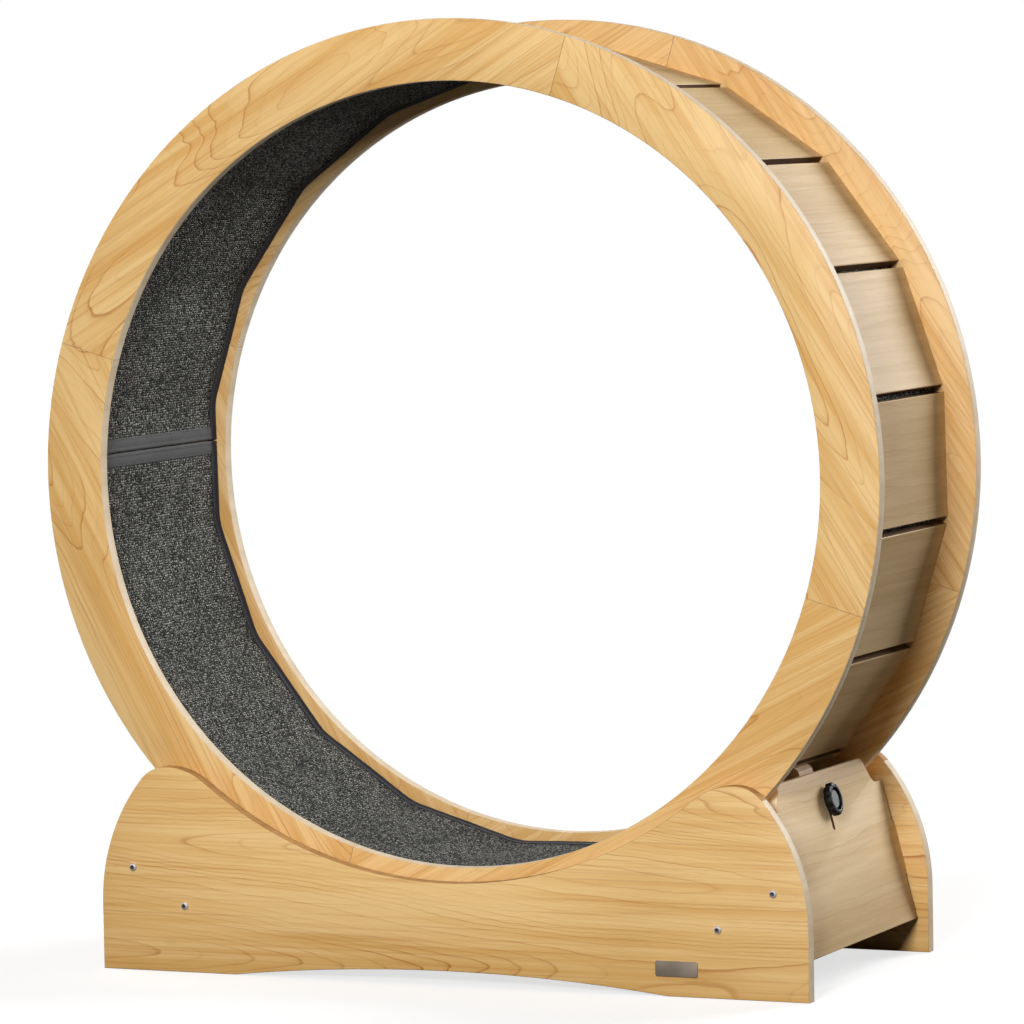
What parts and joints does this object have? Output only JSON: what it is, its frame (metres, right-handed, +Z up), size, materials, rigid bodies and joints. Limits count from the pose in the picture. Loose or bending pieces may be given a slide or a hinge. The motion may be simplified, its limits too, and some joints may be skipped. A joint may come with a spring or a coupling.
{
  "type": "cat exercise wheel",
  "caption": "Free-standing wooden running wheel for a cat, with a carpet track, turning on grooved rollers in a low slotted base with a sliding knob-clamped brake.",
  "frame": {"origin": "on the floor, under the middle of the wheel", "axes": "+Z up; Y along the wheel's axle line, the side with the name plate at -Y; +X towards the end that has the brake"},
  "size_m": [1, 0.4018, 1.0576],
  "materials": {
    "ring_laminate": "satin maple laminate",
    "slat_wood": "matt pale wood",
    "dowel_wood": "plain",
    "carpet_pile": "looped pile",
    "binding_tape": "woven",
    "plate_laminate": "satin maple laminate",
    "board_wood": "matt pale wood",
    "zinc_steel": "bright zinc",
    "bracket_steel": "zinc plated sheet",
    "bearing_steel": "ground",
    "roller_plastic": "matt",
    "knob_plastic": "fine grain",
    "cap_metal": "spun",
    "plate_metal": "brushed"
  },
  "bodies": {
    "base": {"axle_bolts": "zinc_steel", "barrel_nuts": "zinc_steel", "bracket_screws": "zinc_steel", "brake_end_board": "board_wood", "front_side_plate": "plate_laminate", "joining_bolts": "zinc_steel", "left_roller_board": "board_wood", "name_plate": "plate_metal", "plain_end_board": "board_wood", "rear_side_plate": "plate_laminate", "right_roller_board": "board_wood", "roller_bracket_front_left": "bracket_steel", "roller_bracket_front_right": "bracket_steel", "roller_bracket_rear_left": "bracket_steel", "roller_bracket_rear_right": "bracket_steel"},
    "wheel": {"carpet_bindings": "binding_tape", "carpet_runner": "carpet_pile", "front_ring_segment_1": "ring_laminate", "front_ring_segment_2": "ring_laminate", "front_ring_segment_3": "ring_laminate", "front_ring_segment_4": "ring_laminate", "rear_ring_segment_1": "ring_laminate", "rear_ring_segment_2": "ring_laminate", "rear_ring_segment_3": "ring_laminate", "rear_ring_segment_4": "ring_laminate", "ring_dowels": "dowel_wood", "slat_01": "slat_wood", "slat_02": "slat_wood", "slat_03": "slat_wood", "slat_04": "slat_wood", "slat_05": "slat_wood", "slat_06": "slat_wood", "slat_07": "slat_wood", "slat_08": "slat_wood", "slat_09": "slat_wood", "slat_10": "slat_wood", "slat_11": "slat_wood", "slat_12": "slat_wood", "slat_13": "slat_wood", "slat_14": "slat_wood", "slat_15": "slat_wood", "slat_16": "slat_wood", "slat_17": "slat_wood", "slat_18": "slat_wood", "slat_19": "slat_wood", "slat_20": "slat_wood"},
    "roller_front_right": {"roller_front_right": "roller_plastic", "roller_bearings_front_right": "bearing_steel"},
    "roller_rear_right": {"roller_rear_right": "roller_plastic", "roller_bearings_rear_right": "bearing_steel"},
    "roller_front_left": {"roller_front_left": "roller_plastic", "roller_bearings_front_left": "bearing_steel"},
    "roller_rear_left": {"roller_rear_left": "roller_plastic", "roller_bearings_rear_left": "bearing_steel"},
    "brake": {"brake_block": "board_wood", "brake_bolt": "zinc_steel", "brake_washer": "zinc_steel"},
    "knob": {"brake_knob": "knob_plastic", "knob_cap": "cap_metal"}
  },
  "joints": [
    {"name": "wheel_spin", "type": "hinge", "parent": "base", "child": "wheel", "pos_m": [0, 0, 0.5576], "axis": [0, 1, 0], "continuous": true},
    {"name": "roller_spin_front_right", "type": "hinge", "parent": "base", "child": "roller_front_right", "pos_m": [0.29346, -0.156, 0.1159], "axis": [0, 1, 0], "continuous": true},
    {"name": "roller_spin_rear_right", "type": "hinge", "parent": "base", "child": "roller_rear_right", "pos_m": [0.29346, 0.156, 0.1159], "axis": [0, 1, 0], "continuous": true},
    {"name": "roller_spin_front_left", "type": "hinge", "parent": "base", "child": "roller_front_left", "pos_m": [-0.29346, -0.156, 0.1159], "axis": [0, 1, 0], "continuous": true},
    {"name": "roller_spin_rear_left", "type": "hinge", "parent": "base", "child": "roller_rear_left", "pos_m": [-0.29346, 0.156, 0.1159], "axis": [0, 1, 0], "continuous": true},
    {"name": "brake_slide", "type": "slide", "parent": "base", "child": "brake", "axis": [-0.2504, 0, 0.9681], "range_m": [-0.03, 0]},
    {"name": "brake_knob_turn", "type": "hinge", "parent": "brake", "child": "knob", "pos_m": [0.37329, 0, 0.19251], "axis": [0.9681, 0, 0.2504], "range_deg": [0, 540]}
  ],
  "couplings": [
    {"joint": "roller_spin_front_right", "follows": "wheel_spin", "ratio": -16.667},
    {"joint": "roller_spin_rear_right", "follows": "wheel_spin", "ratio": -16.667},
    {"joint": "roller_spin_front_left", "follows": "wheel_spin", "ratio": -16.667},
    {"joint": "roller_spin_rear_left", "follows": "wheel_spin", "ratio": -16.667}
  ]
}
